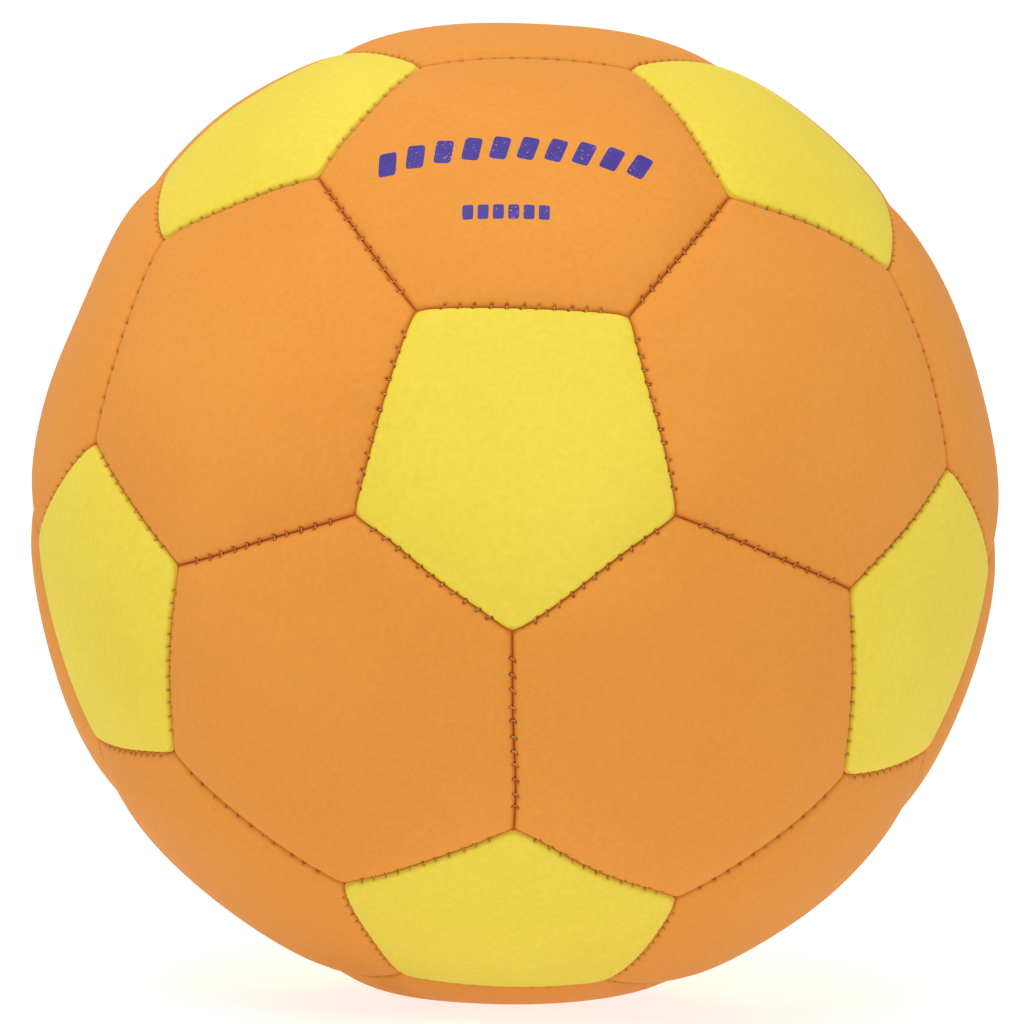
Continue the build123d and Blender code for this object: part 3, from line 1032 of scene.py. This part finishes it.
def markPatch(width, height, place, turn):
    # one rounded patch of ink that follows the skin
    u = np.sin(np.linspace(-1, 1, 13) * math.pi / 2)
    v = np.sin(np.linspace(-1, 1, 25) * math.pi / 2) * 0.998
    x = u[:, None] * width / 2 * (1 - np.abs(v[None]) ** 7) ** (1 / 7)
    y = v[None] * height / 2 + 0 * x
    c, s = math.cos(turn), math.sin(turn)
    x, y = (place[0] + x * c - y * s).ravel(), (place[1] + x * s + y * c).ravel()
    axis = markPanel["axis"]
    right = np.array([1.0, 0, 0])
    up = np.cross(axis, right)
    out = np.sqrt(ballRadius ** 2 - x ** 2 - y ** 2)
    spots = unit(x[:, None] * right + y[:, None] * up + out[:, None] * axis)
    nearest = int(np.argmax([strayed[i] @ spots.mean(0) for i in markPanel["ids"]]))
    radius = skinSurface(markPanel, nearest, spots)[0]
    top, bottom = (standing(spots, radius + level) for level in (mark["thick"], -mark["sunk"]))
    quads = gridFaces(len(u), len(v))[:, ::-1]
    numbers = np.arange(x.size).reshape(len(u), len(v))
    sides = [numbers[:-1, 0], numbers[-1, :-1], numbers[:0:-1, -1], numbers[0, :0:-1]]
    edge = np.concatenate(sides).tolist()
    faces = quads.tolist() + [[i + x.size for i in face[::-1]] for face in quads.tolist()]
    faces += band(edge, [i + x.size for i in edge])
    return np.concatenate([top, bottom]), faces


inkParts = []
for k in range(mark["bars"]):
    turn = math.radians(((mark["bars"] - 1) / 2 - k) * mark["step"])
    across = mark["shift"] - math.sin(turn) * mark["archRadius"]
    up = mark["archTop"] + (math.cos(turn) - 1) * mark["archRadius"]
    inkParts.append(markPatch(*mark["barSize"], (across, up), turn - math.radians(mark["slant"])))
for k in range(mark["blocks"]):
    across = mark["blockShift"] + (k - (mark["blocks"] - 1) / 2) * mark["blockPitch"]
    inkParts.append(markPatch(*mark["blockSize"], (across, -mark["blockDrop"]), 0.0))
solidPiece("printed_bars", inkParts, ["printed_mark"], finishes["ink"])
say("mark printed")

# the valve: turned pieces, as (radius, height along the valve's axis)
valve = {
    "steps": 72,
    "housing": [(2.42, 79.3), (5.3, 79.3), (5.5, 79.5), (5.5, 88.0), (6.0, 88.09), (11.6, 87.53),
                (11.95, 87.6), (12.0, 87.9), (11.9, 88.6), (11.6, 88.74), (5.4, 89.33), (4.75, 89.6),
                (4.5, 90.1), (4.5, 93.2), (4.42, 93.42), (4.2, 93.5), (3.62, 93.5), (3.46, 93.42),
                (3.42, 93.25), (3.42, 92.1), (2.42, 92.1)],
    "insert": [(0, 79.35), (2.3, 79.35), (2.4, 79.5), (2.4, 92.14), (3.38, 92.14), (3.38, 93.2),
               (3.3, 93.36), (3.1, 93.42), (1.95, 93.4), (1.6, 93.3), (1.12, 92.8), (1.0, 92.5),
               (1.0, 83.5), (0, 83.5)],
}
valvePanel = next(p for p in panels if p["open"])


def turned(profile, closed):
    # a solid of revolution on the valve's axis: a ring if closed, or with both ends on the axis
    axis, side, up = (valvePanel[key] for key in ("axis", "side", "up"))
    angles = np.arange(valve["steps"]) * 2 * math.pi / valve["steps"]
    spoke = np.cos(angles)[:, None] * side + np.sin(angles)[:, None] * up
    points, rings = [], []
    for radius, height in profile:
        here = [height * axis] if radius == 0 else list(height * axis + radius * spoke)
        rings.append(list(range(len(points), len(points) + len(here))))
        points += here
    faces = []
    for lower, upper in zip(rings, rings[1:] + rings[:1] if closed else rings[1:]):
        for a in range(valve["steps"]):
            b = (a + 1) % valve["steps"]
            if len(lower) == 1:
                faces.append([lower[0], upper[b], upper[a]])
            elif len(upper) == 1:
                faces.append([lower[a], lower[b], upper[0]])
            else:
                faces.append([lower[a], lower[b], upper[b], upper[a]])
    return np.array(points) * mm, faces


housing, insert = [turned(valve["housing"], True)], [turned(valve["insert"], False)]
solidPiece("valve_stem_and_flange", housing, ["valve_housing"], finishes["valve"])
solidPiece("valve_plug", insert, ["valve_insert"], finishes["core"])
for nodeName, finish in (("valve_patch", "cloth"), ("bladder", "bladder")):
    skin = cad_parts[nodeName].data.materials
    skin.clear()
    skin.append(finishes[finish])
say("valve made")

# floor, light and camera
studio = {
    "floorSize": 400.0,
    "floorGlow": 0.72,  # the floor is a lit table
    "world": 0.71,
    "overhead": {"place": (-0.2, -0.55, 1.25), "size": 1.5, "power": 12.5},
    "distance": 14.458,  # of the camera, in radii of the ball
    "lens": 247.9,
    "elevation": 4.36,
    "azimuth": -0.22,
    "roll": 1.48,
    "shift": (-0.0033, 0.0007),
}
half = studio["floorSize"]
floorCorners = [(x * half, y * half, startBox[0][2]) for x, y in ((-1, -1), (1, -1), (1, 1), (-1, 1))]
floorLook = mottled("pale_floor", (0.42, 0.42, 0.42), (0.45, 0.45, 0.45), 3, 0.8, 0.0001)
floorShader = floorLook.node_tree.nodes["Principled BSDF"]
floorShader.inputs["Emission Color"].default_value = (1, 1, 1, 1)
floorShader.inputs["Emission Strength"].default_value = studio["floorGlow"]
floor = newObject("floor", floorCorners, [[0, 1, 2, 3]], floorLook)

world = bpy.data.worlds.new("studio")
bpy.context.scene.world = world
world.use_nodes = True
world.node_tree.nodes["Background"].inputs["Color"].default_value = (1, 1, 1, 1)
seen = addNode(world.node_tree, "LightPath").outputs["Is Camera Ray"]  # it looks white, and lights less
backdrop = spread(world.node_tree, seen, studio["world"], 1.0)
world.node_tree.links.new(backdrop, world.node_tree.nodes["Background"].inputs["Strength"])

overhead = bpy.data.lights.new("overhead", "AREA")
overhead.shape = "DISK"
overhead.size = studio["overhead"]["size"]
overhead.energy = studio["overhead"]["power"]
lamp = bpy.data.objects.new("overhead", overhead)
bpy.context.scene.collection.objects.link(lamp)
lamp.location = studio["overhead"]["place"]
lamp.rotation_euler = (-Vector(studio["overhead"]["place"])).to_track_quat("-Z", "Y").to_euler()

azimuth, elevation = math.radians(studio["azimuth"]), math.radians(studio["elevation"])
level = math.cos(elevation)
back = Vector((math.sin(azimuth) * level, -math.cos(azimuth) * level, math.sin(elevation)))
cameraData = bpy.data.cameras.new("camera")
cameraData.lens, cameraData.sensor_width = studio["lens"], 36
cameraData.shift_x, cameraData.shift_y = studio["shift"]
camera = bpy.data.objects.new("camera", cameraData)
bpy.context.scene.collection.objects.link(camera)
camera.location = back * studio["distance"] * ballRadius * mm
looking = (-back).to_track_quat("-Z", "Y").to_matrix()
camera.rotation_euler = (looking @ Matrix.Rotation(math.radians(studio["roll"]), 3, "Z")).to_euler()
bpy.context.scene.camera = camera
bpy.context.scene.view_settings.view_transform = "Standard"
say("scene ready")
